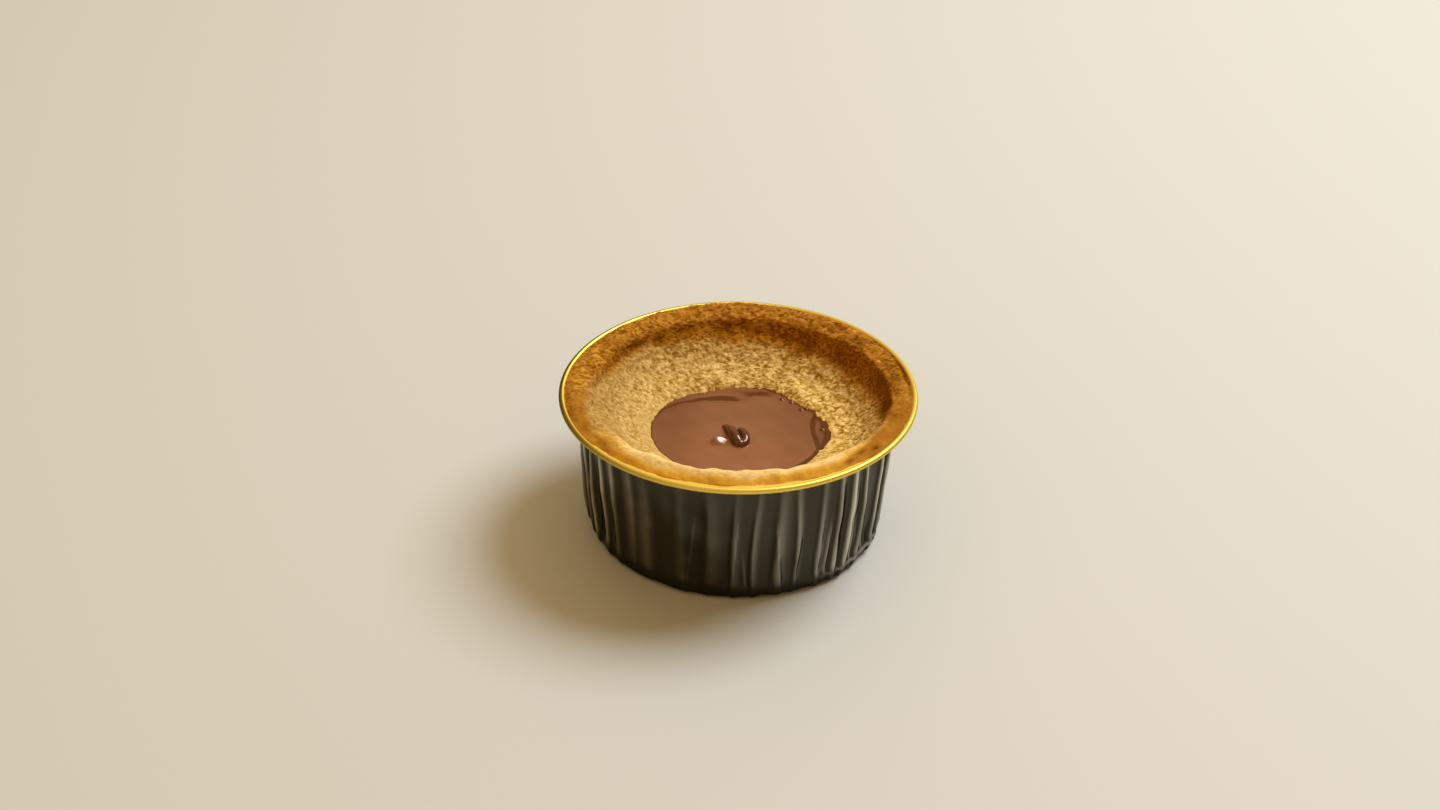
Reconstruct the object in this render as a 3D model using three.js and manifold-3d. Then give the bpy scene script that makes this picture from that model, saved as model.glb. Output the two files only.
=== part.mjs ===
// A molten cookie baked in its foil cup. The cup is one thin sheet, pressed into soft upright
// flutes, flared at the top and rolled outwards into a bead. The cookie fills it, spreads over
// the flare as a browned lip and sinks to a dish, and chocolate stands in the middle of the dish
// with the last loop of its piping on top.
// Millimetres, +Z up. The origin is on the floor, under the centre of the cup, and -Y is the front.
import * as THREE from "three";
import { mergeVertices } from "three/addons/utils/BufferGeometryUtils.js";
import Module from "manifold-3d";

// Driving dimensions of the cup
const RIM_DIAMETER = 85; // over the rolled bead
const CUP_HEIGHT = 36; // floor to the top of the bead
const RIM_LEAN = 0.8; // the rim stands this much higher on the right, and lower on the left
const WALL_TOP_RADIUS = 37.3; // outside of the wall, where the flare begins
const WALL_FOOT_RADIUS = 35; // outside of the wall, just above the bottom corner
const WALL_TOP_HEIGHT = 33.5;
const CORNER_RADIUS = 2.5; // between wall and base
const BEAD_RADIUS = 0.6;
const FLANGE_HEIGHT = 35.2; // upper face of the flange, just inside the bead
const FLARE_REACH = 1.4; // how far the bend from wall to flange runs, outwards and upwards
const FOIL = 0.4; // thickness of the sheet
const FIT_GAP = 0.3; // clearance between cup, cookie and chocolate

// The flutes of the cup's wall
const FLUTES = 44;
const FLUTE_DEPTH = 0.8; // a ridge above the valleys beside it
const FLUTE_DEPTH_SPREAD = 0.4; // share by which one flute's depth differs from the next
const FLUTE_WANDER = 0.011; // how far, in radians, a flute strays from even spacing
const FLUTE_LEAN = 0.05; // how far, in radians, a flute at the side leans away from the front
const FLUTE_SEED = 7;
const COLUMNS_PER_FLUTE = 3; // one column of points on the ridge and two in the valley
const COLUMNS = FLUTES * COLUMNS_PER_FLUTE;

// Driving dimensions of the cookie's top
const LIP_RADIUS = 40.9; // outer edge of the browned lip, inside the bead
const LIP_FRONT_INSET = 1.4; // by which that edge draws back at the front and bares the flange
const LIP_FRONT_DROP = 0.3; // by which it thins out there
const LIP_HEIGHT = 36.5; // crest of the lip
const LIP_TILT = 0.6; // its inner side stands this much higher at the front, and lower at the back
const SHOULDER_RADIUS = 35; // where the lip turns down into the dish
const SHOULDER_HEIGHT = 35.4;
const STEP_FOOT_RADIUS = 32.4; // foot of the steep step below the lip
const STEP_FOOT_HEIGHT = 31.2;
const STEP_SIDE_TILT = 1.1; // the foot lies this much lower on the right, and higher on the left
const SIDE_HOLLOW = 0.8; // the slope sags this much more on the right
const SIDE_HOLLOW_DEGREES = 85;
const SIDE_HOLLOW_SPREAD_DEGREES = 50;
const HUMP_HEIGHT = 0.6; // a hump on the lip's inner side, left of the front
const HUMP_DEGREES = -22;
const HUMP_SPREAD_DEGREES = 15;
const CRUMB_RELIEF = 0.22; // height of the crags in the crumb
const CRUMB_SEED = 21;

// Driving dimensions of the chocolate
const POOL_RADIUS = 20.8;
const POOL_BULGE = 0.9; // the pool runs this much further out on the right
const POOL_BULGE_DEGREES = 110;
const POOL_BITE = 2; // crumb stands into the pool at the back left
const POOL_BITE_DEGREES = -158;
const POOL_BITE_SPREAD_DEGREES = 14;
const POOL_HEIGHT = 24.3; // level of the chocolate
const POOL_DEPTH = 6.5; // under the level, in the middle
const SWELLING_RADIUS = 6; // low swelling round the piped loop
const SWELLING_HEIGHT = 0.5;
const SWELLING_CENTRE = [-0.6, -3.8];
const LOOP_DIAMETER = 1.8; // thickness of the piped string
const POOL_COLUMN_STEP = 2; // the pool takes every second column of the cup

// Sizes that follow from these
const BEAD_CENTRE_RADIUS = RIM_DIAMETER / 2 - BEAD_RADIUS;
const BEAD_CENTRE_HEIGHT = CUP_HEIGHT - BEAD_RADIUS;
const SKIN = FOIL + FIT_GAP; // from the outside of the cup to the side of the cookie
const FULL_TURN = 2 * Math.PI;

const wasm = await Module();
wasm.setup();

// A repeatable stream of numbers from 0 to 1.
function seededRandom(seed) {
  let state = seed;
  return () => {
    state = (state * 1664525 + 1013904223) % 4294967296;
    return state / 4294967296;
  };
}

// The angle of a column of points, from the front towards +X. Pressed foil gathers unevenly, so
// the flutes stray from even spacing and lean a little.
function columnAngle(column, height) {
  const even = (FULL_TURN * column) / COLUMNS;
  const wander = Math.sin(5 * even + 0.4) + Math.sin(9 * even + 2.1) + 0.7 * Math.sin(14 * even + 4.4);
  const lean = Math.sin(even) * (height / CUP_HEIGHT - 0.5);
  return even + FLUTE_WANDER * wander + FLUTE_LEAN * lean;
}

const flutes = seededRandom(FLUTE_SEED);
const fluteDepths = Array.from(
  { length: FLUTES },
  () => FLUTE_DEPTH * (1 + FLUTE_DEPTH_SPREAD * (2 * flutes() - 1)),
);

// How far the wall stands out at a column: one part of the depth in a valley, two parts on a ridge.
function fluteOffset(column) {
  const depth = fluteDepths[Math.floor(column / COLUMNS_PER_FLUTE)];
  return column % COLUMNS_PER_FLUTE === 0 ? (2 * depth) / 3 : -depth / 3;
}

// A profile point: radius, height and its share of the flutes.
function point(radius, height, fluted = 0) {
  return { radius, height, fluted };
}

// Points on an arc of a profile, with angles in degrees from +radius towards +height.
function arc(centreRadius, centreHeight, radius, fromDegrees, toDegrees, steps, fluted = 0) {
  return Array.from({ length: steps + 1 }, (_, step) => {
    const angle = THREE.MathUtils.degToRad(THREE.MathUtils.lerp(fromDegrees, toDegrees, step / steps));
    return point(centreRadius + radius * Math.cos(angle), centreHeight + radius * Math.sin(angle), fluted);
  });
}

// Turns a profile, which starts and ends on the axis, round +Z. Each point is then set in its
// place: the column gives its angle and flute, and shape(point, angle) may change its radius and height.
function turned(profile, columns, columnStep, shape) {
  const geometry = new THREE.LatheGeometry(
    profile.map(({ radius, height }) => new THREE.Vector2(radius, height)),
    columns,
  );
  const position = geometry.getAttribute("position");
  const rows = profile.length;
  for (let turn = 0; turn < columns; turn++) {
    const column = turn * columnStep;
    profile.forEach((spot, row) => {
      const angle = columnAngle(column, spot.height);
      const { radius, height } = shape(spot, angle);
      const reach = spot.radius === 0 ? 0 : radius + spot.fluted * fluteOffset(column);
      position.setXYZ(turn * rows + row, reach * Math.sin(angle), -reach * Math.cos(angle), height);
    });
  }
  // The seam's second edge lies on its first.
  for (let row = 0; row < rows; row++)
    position.setXYZ(columns * rows + row, position.getX(row), position.getY(row), position.getZ(row));
  return geometry;
}

// A closed three.js geometry as a manifold solid.
function solidOf(geometry) {
  geometry.deleteAttribute("normal");
  geometry.deleteAttribute("uv");
  const merged = mergeVertices(geometry, 1e-4);
  return new wasm.Manifold(
    new wasm.Mesh({
      numProp: 3,
      vertProperties: merged.getAttribute("position").array,
      triVerts: new Uint32Array(merged.index.array),
    }),
  );
}

// A manifold solid as a three.js mesh, which leans with the rim.
function meshOf(solid, name, material) {
  const { vertProperties, triVerts } = solid.getMesh();
  const position = new THREE.BufferAttribute(vertProperties, 3);
  for (let index = 0; index < position.count; index++) {
    const sideShare = position.getX(index) / (RIM_DIAMETER / 2);
    const heightShare = position.getZ(index) / CUP_HEIGHT;
    position.setZ(index, position.getZ(index) + RIM_LEAN * sideShare * heightShare);
  }
  const geometry = new THREE.BufferGeometry();
  geometry.setAttribute("position", position);
  geometry.setIndex(new THREE.BufferAttribute(triVerts, 1));
  geometry.computeVertexNormals();
  const mesh = new THREE.Mesh(geometry, material);
  mesh.name = name;
  return mesh;
}

// The cup's wall, corner and base at a depth inside its outer face, from the wall's top down to
// the axis. The flutes fade out in the corner, which leaves a plain hem with a scalloped foot.
const CORNER_STEPS = 2;
const WALL_TOP_FLUTES = 0.45; // share of the flutes left where the flare begins
const WALL_ROW_HEIGHTS = [20, 5.5]; // rows of points between, which let the leaning flutes twist
const CORNER_FLUTES = 0.6; // share of the flutes left in the corner
const BASE_EDGE_FLUTES = 0.4; // share of the flutes left where the flat base begins
function wallAndBase(inside) {
  const cornerRadius = CORNER_RADIUS - inside;
  const cornerCentre = WALL_FOOT_RADIUS - CORNER_RADIUS;
  const corner = arc(cornerCentre, CORNER_RADIUS, cornerRadius, 0, -90, CORNER_STEPS, CORNER_FLUTES);
  corner[CORNER_STEPS].fluted = BASE_EDGE_FLUTES;
  const wall = WALL_ROW_HEIGHTS.map((height) => {
    const share = (height - CORNER_RADIUS) / (WALL_TOP_HEIGHT - CORNER_RADIUS);
    return point(THREE.MathUtils.lerp(WALL_FOOT_RADIUS, WALL_TOP_RADIUS, share) - inside, height, 1);
  });
  return [
    point(WALL_TOP_RADIUS - inside, WALL_TOP_HEIGHT, WALL_TOP_FLUTES),
    ...wall,
    ...corner,
    point(0, inside),
  ];
}

// The bend from the wall to the flange at a depth inside the outer face, from the wall's top outwards.
function flare(inside) {
  const under = FLANGE_HEIGHT - FOIL;
  const bend = FLARE_REACH * (1 - Math.SQRT1_2);
  const inset = inside * Math.SQRT1_2;
  return [
    point(WALL_TOP_RADIUS + bend - inset, under - bend + inset),
    point(WALL_TOP_RADIUS + FLARE_REACH, under + inside),
  ];
}

// The foil cup: up the inside, out along the flare, round the bead, and down the outside.
const BEAD_INNER_DEGREES = 199; // where the flange's upper face runs into the bead
const BEAD_UNDER_DEGREES = -90; // where its lower face does
const BEAD_STEPS = 6;
function foilCup() {
  const bead = arc(
    BEAD_CENTRE_RADIUS,
    BEAD_CENTRE_HEIGHT,
    BEAD_RADIUS,
    BEAD_UNDER_DEGREES,
    BEAD_INNER_DEGREES,
    BEAD_STEPS,
  );
  const profile = [
    ...wallAndBase(FOIL).reverse(),
    ...flare(FOIL),
    ...bead.reverse(),
    ...flare(0).reverse(),
    ...wallAndBase(0),
  ];
  return solidOf(turned(profile.reverse(), COLUMNS, 1, (spot) => spot));
}

// A smooth hump of height 1 round the cup at an angle, with a spread to either side.
function humpAt(angle, centreDegrees, spreadDegrees) {
  const turn = angle - THREE.MathUtils.degToRad(centreDegrees);
  const nearest = Math.atan2(Math.sin(turn), Math.cos(turn));
  return Math.exp(-((nearest / THREE.MathUtils.degToRad(spreadDegrees)) ** 2));
}

// The pool's edge as a share of its radius: round, but soaked further into the crumb here and there.
const POOL_RAGGED = 0.2;
function poolOutline(angle) {
  const waves = POOL_RAGGED * (Math.sin(5 * angle + 2.7) + Math.sin(9 * angle + 1.3));
  const bulge = POOL_BULGE * Math.cos(angle - THREE.MathUtils.degToRad(POOL_BULGE_DEGREES));
  const bite = POOL_BITE * humpAt(angle, POOL_BITE_DEGREES, POOL_BITE_SPREAD_DEGREES);
  return 1 + (waves + bulge - bite) / POOL_RADIUS;
}

// The bed under the chocolate at a depth below its own surface, from the pool's edge to the axis.
const BED_SHAPE = [
  { out: 0.82, down: 0.5 },
  { out: 0.48, down: 0.88 },
  { out: 0, down: 1 },
];
function bed(lowered) {
  const top = POOL_HEIGHT - lowered;
  return BED_SHAPE.map(({ out, down }) => point(POOL_RADIUS * out, top - POOL_DEPTH * down));
}

// How much the lip's tilt and its hump raise a point: by all of both at the shoulder, and a little
// the other way at the outer edge.
const TILT_HINGE_RADIUS = 38.4;
const TILT_OUTER_SHARE = -0.4;
function lipRise(radius, angle) {
  const share = (TILT_HINGE_RADIUS - radius) / (TILT_HINGE_RADIUS - SHOULDER_RADIUS);
  const rise = LIP_TILT * Math.cos(angle) + HUMP_HEIGHT * humpAt(angle, HUMP_DEGREES, HUMP_SPREAD_DEGREES);
  return rise * THREE.MathUtils.clamp(share, TILT_OUTER_SHARE, 1);
}

// How much of the lip's drawing back falls to a point: all of it on the outer edge at the front.
const INSET_SHARPNESS = 3;
function insetShare(radius, angle) {
  const share = THREE.MathUtils.clamp((radius - SHOULDER_RADIUS) / (LIP_RADIUS - SHOULDER_RADIUS), 0, 1);
  return share * ((1 + Math.cos(angle)) / 2) ** INSET_SHARPNESS;
}

// A point on the crumb slope, from the foot of the step to the pool's edge. The slope is hollow.
const SLOPE_HOLLOW = 0.6;
const SLOPE_SHARES = [0, 0.36, 0.7, 1];
function slopePoint(share) {
  const radius = THREE.MathUtils.lerp(STEP_FOOT_RADIUS, POOL_RADIUS, share);
  const straight = THREE.MathUtils.lerp(STEP_FOOT_HEIGHT, POOL_HEIGHT, share);
  return point(radius, straight - SLOPE_HOLLOW * Math.sin(Math.PI * share));
}

// The cookie: up its side and out over the flare, then lip, step, crumb slope and bed.
const LIP_EDGE = 0.65; // thickness of the lip's outer edge, on the flange
const LIP_UNDERCUT = 0.2; // by which that edge overhangs its foot
const CREST_INSET = 1.3; // from the lip's outer edge in to its crest
const BROW_INSET = 3.2; // from the outer edge in to where the lip starts to fall
const BROW_DROP = 0.3; // below the crest there
function cookie() {
  const side = [...wallAndBase(SKIN).reverse(), ...flare(SKIN)];
  const lipFoot = FLANGE_HEIGHT + FIT_GAP;
  const top = [
    point(LIP_RADIUS - LIP_UNDERCUT, lipFoot),
    point(LIP_RADIUS, lipFoot + LIP_EDGE),
    point(LIP_RADIUS - CREST_INSET, LIP_HEIGHT),
    point(LIP_RADIUS - BROW_INSET, LIP_HEIGHT - BROW_DROP),
    point(SHOULDER_RADIUS, SHOULDER_HEIGHT),
    point((SHOULDER_RADIUS + STEP_FOOT_RADIUS) / 2, (SHOULDER_HEIGHT + STEP_FOOT_HEIGHT) / 2),
    ...SLOPE_SHARES.map(slopePoint),
  ];
  const profile = [...side, ...top, ...bed(FIT_GAP)];
  const lipFootRow = side.length;
  const stepFootRow = profile.length - BED_SHAPE.length - SLOPE_SHARES.length;
  const poolEdgeRow = side.length + top.length - 1;
  const crags = seededRandom(CRUMB_SEED);

  const shape = (spot, angle) => {
    const row = profile.indexOf(spot);
    let { radius, height } = spot;
    if (row >= poolEdgeRow) radius *= poolOutline(angle);
    const inset = insetShare(spot.radius, angle);
    if (row >= lipFootRow && row < stepFootRow) radius -= LIP_FRONT_INSET * inset;
    if (row <= lipFootRow || row >= poolEdgeRow) return { radius, height };

    height += CRUMB_RELIEF * (2 * crags() - 1);
    if (row < stepFootRow) {
      height += lipRise(spot.radius, angle) - LIP_FRONT_DROP * inset ** 2;
    } else {
      const slopeShare = (spot.radius - POOL_RADIUS) / (STEP_FOOT_RADIUS - POOL_RADIUS);
      const sag = Math.sin(Math.PI * slopeShare) * humpAt(angle, SIDE_HOLLOW_DEGREES, SIDE_HOLLOW_SPREAD_DEGREES);
      height -= STEP_SIDE_TILT * Math.sin(angle) * slopeShare + SIDE_HOLLOW * sag;
    }
    return { radius, height };
  };
  return solidOf(turned(profile, COLUMNS, 1, shape));
}

// The chocolate: a pool that fills the bed, a low swelling, and the loop left by the last of the
// piping: a hairpin that rises out of the swelling, comes forward to a bend and goes back under.
const POOL_EDGE_DROP = 0.15; // the pool's outermost edge lies below its level
const POOL_EDGE_WIDTH = 1.2;
const SWELLING_SHAPE = [
  { out: 0, up: -2 },
  { out: 1, up: -2 },
  { out: 1, up: -0.1 },
  { out: 0.6, up: 0.5 },
  { out: 0.3, up: 0.85 },
  { out: 0, up: 1 },
]; // shares of the swelling's radius and height
const SWELLING_SIDES = 24;
const LOOP_ROUTE = [
  [-3.3, 1.0, -0.5],
  [-2.3, -0.7, 0.6],
  [-1.3, -2.6, 1.2],
  [-0.5, -4.4, 1.3],
  [0.15, -5.8, 1.0],
  [1.1, -6.8, 0.4],
  [2.05, -6.1, 0.6],
  [2.1, -4.8, 0.9],
  [1.6, -3.3, 1.1],
  [0.95, -2.0, 0.9],
  [0.5, -0.9, -0.5],
]; // x, y and height above the pool's level
const LOOP_SIDES = 8;
const LOOP_STEPS = 20;
function chocolate() {
  const edge = POOL_RADIUS - FIT_GAP;
  const profile = [
    ...bed(0).reverse(),
    point(edge, POOL_HEIGHT - POOL_EDGE_DROP),
    point(edge - POOL_EDGE_WIDTH, POOL_HEIGHT),
    point(0, POOL_HEIGHT),
  ];
  const shape = (spot, angle) => ({ radius: spot.radius * poolOutline(angle), height: spot.height });
  const pool = turned(profile, COLUMNS / POOL_COLUMN_STEP, POOL_COLUMN_STEP, shape);

  const swelling = new THREE.LatheGeometry(
    SWELLING_SHAPE.map(({ out, up }) => new THREE.Vector2(SWELLING_RADIUS * out, SWELLING_HEIGHT * up)),
    SWELLING_SIDES,
  );
  swelling.rotateX(Math.PI / 2).translate(...SWELLING_CENTRE, POOL_HEIGHT);

  const route = new THREE.CatmullRomCurve3(
    LOOP_ROUTE.map(([x, y, above]) => new THREE.Vector3(x, y, POOL_HEIGHT + above)),
  );
  const section = new THREE.Shape().absarc(0, 0, LOOP_DIAMETER / 2, 0, FULL_TURN);
  const loop = new THREE.ExtrudeGeometry(section, {
    extrudePath: route,
    steps: LOOP_STEPS,
    curveSegments: LOOP_SIDES,
  });
  return solidOf(pool).add(solidOf(swelling)).add(solidOf(loop));
}

const blackFoil = new THREE.MeshStandardMaterial({ color: 0x35312a, roughness: 0.42, metalness: 0.7 });
const bakedCrumb = new THREE.MeshStandardMaterial({ color: 0xc48f4a, roughness: 0.9, metalness: 0 });
const meltedChocolate = new THREE.MeshStandardMaterial({ color: 0x7d4a2c, roughness: 0.22, metalness: 0 });

const moltenCookie = new THREE.Group();
moltenCookie.add(
  meshOf(foilCup(), "foil_cup", blackFoil),
  meshOf(cookie(), "cookie", bakedCrumb),
  meshOf(chocolate(), "chocolate", meltedChocolate),
);

export default moltenCookie;
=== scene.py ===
import math
import random

import bpy
import numpy as np
from mathutils.bvhtree import BVHTree
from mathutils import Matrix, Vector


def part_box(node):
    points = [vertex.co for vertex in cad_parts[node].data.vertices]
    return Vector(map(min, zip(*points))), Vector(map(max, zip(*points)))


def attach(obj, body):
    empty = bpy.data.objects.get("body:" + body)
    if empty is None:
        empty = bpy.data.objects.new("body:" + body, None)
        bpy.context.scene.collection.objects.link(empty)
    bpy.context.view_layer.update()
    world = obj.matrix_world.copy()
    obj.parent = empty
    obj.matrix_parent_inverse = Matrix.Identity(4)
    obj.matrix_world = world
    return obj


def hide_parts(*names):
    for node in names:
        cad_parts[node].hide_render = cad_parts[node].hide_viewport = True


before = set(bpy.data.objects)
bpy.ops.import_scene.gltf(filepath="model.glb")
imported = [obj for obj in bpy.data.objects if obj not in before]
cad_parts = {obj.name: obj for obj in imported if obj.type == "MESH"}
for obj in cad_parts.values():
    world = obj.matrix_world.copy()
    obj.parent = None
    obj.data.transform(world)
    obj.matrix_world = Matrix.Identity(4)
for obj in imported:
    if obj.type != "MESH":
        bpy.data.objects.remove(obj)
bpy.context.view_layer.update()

# The foil cup: one disc of aluminium foil, lacquered black on one face and gold on the other. A die
# presses it into a pan, the spare foil of the wall gathers into upright flutes, and the edge is
# flared and rolled outwards into a bead, which turns the gold face up.
MM = 0.001
FOIL = 0.15 * MM
BEAD = 0.7 * MM
BEAD_OPENING = (200, -115)  # degrees on the roll, 0 pointing outwards, where it starts and ends
FLANGE_DROP = 0.8 * MM  # from the top of the bead to the flange
FLANGE_END = 41.0 * MM
WALL_FOOT_RADIUS = 34.7 * MM
WALL_TOP_RADIUS = 37.2 * MM
WALL_TOP_HEIGHT = 33.6 * MM
CORNER = 2.5 * MM
FLARE = 1.45 * MM
RIM_LEAN = 0.8 * MM  # by which the rim stands higher on the right, and lower on the left
CUP_COLUMNS = 616

_, cup_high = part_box("foil_cup")
rim_height = cup_high.z - RIM_LEAN
bead_radius = cup_high.x - BEAD
bead_height = rim_height - BEAD
flange_height = rim_height - FLANGE_DROP
base_radius = WALL_FOOT_RADIUS - CORNER


def start_ring(name, columns, radius, height):
    """Adds a ring of edges round the upright axis, and leaves it selected in edit mode."""
    bpy.ops.object.select_all(action="DESELECT")
    bpy.ops.mesh.primitive_circle_add(vertices=columns, radius=radius)
    piece = bpy.context.object
    piece.name = name
    piece.data.name = name
    bpy.ops.object.mode_set(mode="EDIT")
    bpy.ops.mesh.select_all(action="SELECT")
    bpy.ops.transform.translate(value=(0, 0, height))
    return piece


def draw_rings(radius, rings):
    """Extrudes the selected ring of a radius through further rings, each a radius and a height."""
    for next_radius, next_height in rings:
        bpy.ops.mesh.extrude_region_move()
        size = next_radius / radius
        bpy.ops.transform.resize(value=(size, size, 0), center_override=(0, 0, 0))
        bpy.ops.transform.translate(value=(0, 0, next_height))
        radius = next_radius


def straight(start, end, steps):
    """Rings along a straight stretch of a profile, without its first one."""
    run = np.subtract(end, start)
    return [tuple(np.add(start, run * step / steps)) for step in range(1, steps + 1)]


def arc(centre_radius, centre_height, bend, start, end, steps):
    """Rings along an arc of a profile, between two angles in degrees, 0 pointing outwards."""
    rings = []
    for step in range(steps + 1):
        turn = math.radians(start + (end - start) * step / steps)
        rings.append((centre_radius + bend * math.cos(turn), centre_height + bend * math.sin(turn)))
    return rings


def select_ring(piece, low, high):
    """In edit mode, selects only the open edges whose two ends lie between two heights."""
    bpy.ops.mesh.select_mode(type="EDGE")
    bpy.ops.mesh.select_all(action="DESELECT")
    bpy.ops.mesh.select_non_manifold(
        extend=False, use_wire=False, use_boundary=True, use_multi_face=False,
        use_non_contiguous=False, use_verts=False,
    )
    bpy.ops.object.mode_set(mode="OBJECT")
    vertices = piece.data.vertices
    for edge in piece.data.edges:
        heights = [vertices[corner].co.z for corner in edge.vertices]
        if edge.select and not low <= min(heights) <= max(heights) <= high:
            edge.select = False
    for vertex in vertices:
        vertex.select = False
    for edge in piece.data.edges:
        if edge.select:
            for corner in edge.vertices:
                vertices[corner].select = True
    bpy.ops.object.mode_set(mode="EDIT")
    bpy.ops.mesh.select_mode(type="EDGE")


cup = start_ring("foil_cup_skin", CUP_COLUMNS, base_radius, 0)
slant = math.degrees(math.atan2(WALL_TOP_RADIUS - WALL_FOOT_RADIUS, WALL_TOP_HEIGHT - CORNER))
corner = arc(base_radius, CORNER, CORNER, -90, -slant, 7)
flare = arc(WALL_TOP_RADIUS + FLARE, flange_height - FOIL - FLARE, FLARE, 180, 90, 6)
bead = arc(bead_radius, bead_height, BEAD - FOIL, *BEAD_OPENING, 20)
flange_end = (FLANGE_END, flange_height - FOIL)
turn_up = (bead[0][0], flange_height - FOIL / 2)
wall_rings = corner[1:] + straight(corner[-1], flare[0], 36) + flare[1:]
edge_rings = straight(flare[-1], flange_end, 3) + [turn_up] + bead
draw_rings(base_radius, wall_rings + edge_rings)
select_ring(cup, -MM, 0.1 * MM)
bpy.ops.mesh.edge_face_add()
bpy.ops.mesh.select_all(action="SELECT")
bpy.ops.mesh.normals_make_consistent(inside=True)
bpy.ops.object.mode_set(mode="OBJECT")

# The flutes and creases of the wall. A flute runs the whole wall, shallower at the top, and is steeper
# on its side to the front; a crease fades out somewhere above the hem. They lean, bow and differ in
# depth, and are softest left of the front.
FLUTES = 44
FLUTE_SEED = 7
FLUTE_DEPTH = 1.25 * MM
FLUTE_WIDTH = 0.8 * MM
FLUTE_LEAN = 0.05  # in radians, by which a flute at the side leans away from the front
SOFT_FLUTES = (-33, 28)  # degrees from the front, and a spread in degrees
CREASES = 70
CREASE_DEPTH = 0.36 * MM
CREASE_WIDTH = 0.45 * MM
CREASE_LEAN = 0.11  # in radians, either way at most
HEM = 3.2 * MM  # height of the plain strip at the foot, where flutes and creases end
HEM_REACH = 0.5 * MM  # by which it stands out beyond the valleys
HEM_FOLD = 0.25 * MM  # a fold along the top of the hem, on the right
HEM_FOLD_WIDTH = 0.35 * MM
DENT_DEPTH = 0.6 * MM
DENT_SIZE = 9 * MM

# Painted highlights and shade: the ridges are painted bright as glints, most at either side, and the
# folds in front of them dark as shade. Each place round the wall is a strength, degrees from the front and a
# spread.
GLINT_PLACES = [(1.45, 63, 24), (0.15, 12, 18), (0.4, 33, 12), (1.2, -64, 24)]
CRISP_GLINT_PLACES = [(0.55, 62, 32), (0.5, -68, 26)]
SHADED_PLACES = [(0.35, -38, 24), (0.85, 88, 10)]


def places_of(piece):
    """The piece's vertices as columns: x, y, height, distance from the axis, angle from the front."""
    flat = np.empty(len(piece.data.vertices) * 3)
    piece.data.vertices.foreach_get("co", flat)
    x, y, height = flat.reshape(-1, 3).T
    return x, y, height, np.hypot(x, y), np.arctan2(x, -y)


def push(piece, amount, shares, direction="NORMAL", texture=None):
    """Moves each vertex by its own share of an amount, along its normal or an axis. A texture
    moves it in or out by a part of that."""
    group = piece.vertex_groups.new(name="share")
    for index in np.flatnonzero(shares > 0.001):
        group.add([int(index)], float(shares[index]), "REPLACE")
    modifier = piece.modifiers.new("push", "DISPLACE")
    modifier.direction = direction
    modifier.strength = amount
    modifier.vertex_group = group.name
    modifier.mid_level = 0
    if texture:
        modifier.texture = texture
        modifier.texture_coords = "LOCAL"
        modifier.mid_level = 0.3 if texture.type == "VORONOI" else 0.5
    bpy.ops.object.modifier_apply(modifier=modifier.name)
    piece.vertex_groups.clear()


def push_both_ways(piece, amount, shares, direction="NORMAL"):
    """As push, but a negative share moves a vertex the other way."""
    push(piece, amount, np.maximum(shares, 0), direction)
    push(piece, -amount, np.maximum(-shares, 0), direction)


def clouds(name, size, depth, noise="SOFT_NOISE"):
    """Noise with lumps of a size, for push. Hard noise has round lumps with creases between."""
    texture = bpy.data.textures.new(name, "CLOUDS")
    texture.noise_scale = size
    texture.noise_depth = depth
    texture.noise_type = noise
    return texture


def rise(start, end, value):
    """From 0 to 1 as a value goes from start to end, smoothly."""
    share = np.clip((value - start) / (end - start), 0, 1)
    return share * share * (3 - 2 * share)


def bell(value, middle, width):
    """A smooth hump of height 1 where a value is at its middle."""
    away = (value - middle) / width
    return np.exp(-away * away)


def turned_from(angle, line):
    """The angle between two directions round the cup, from -pi to pi."""
    return (angle - line + math.pi) % (2 * math.pi) - math.pi


def hump(angle, degrees, spread):
    """A smooth hump of height 1 round the cup, at an angle and with a spread in degrees."""
    return bell(turned_from(angle, math.radians(degrees)), 0, math.radians(spread))


def humps(angle, places):
    """The sum of humps round the cup, each a strength, an angle and a spread in degrees."""
    return sum(strength * hump(angle, degrees, spread) for strength, degrees, spread in places)


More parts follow.
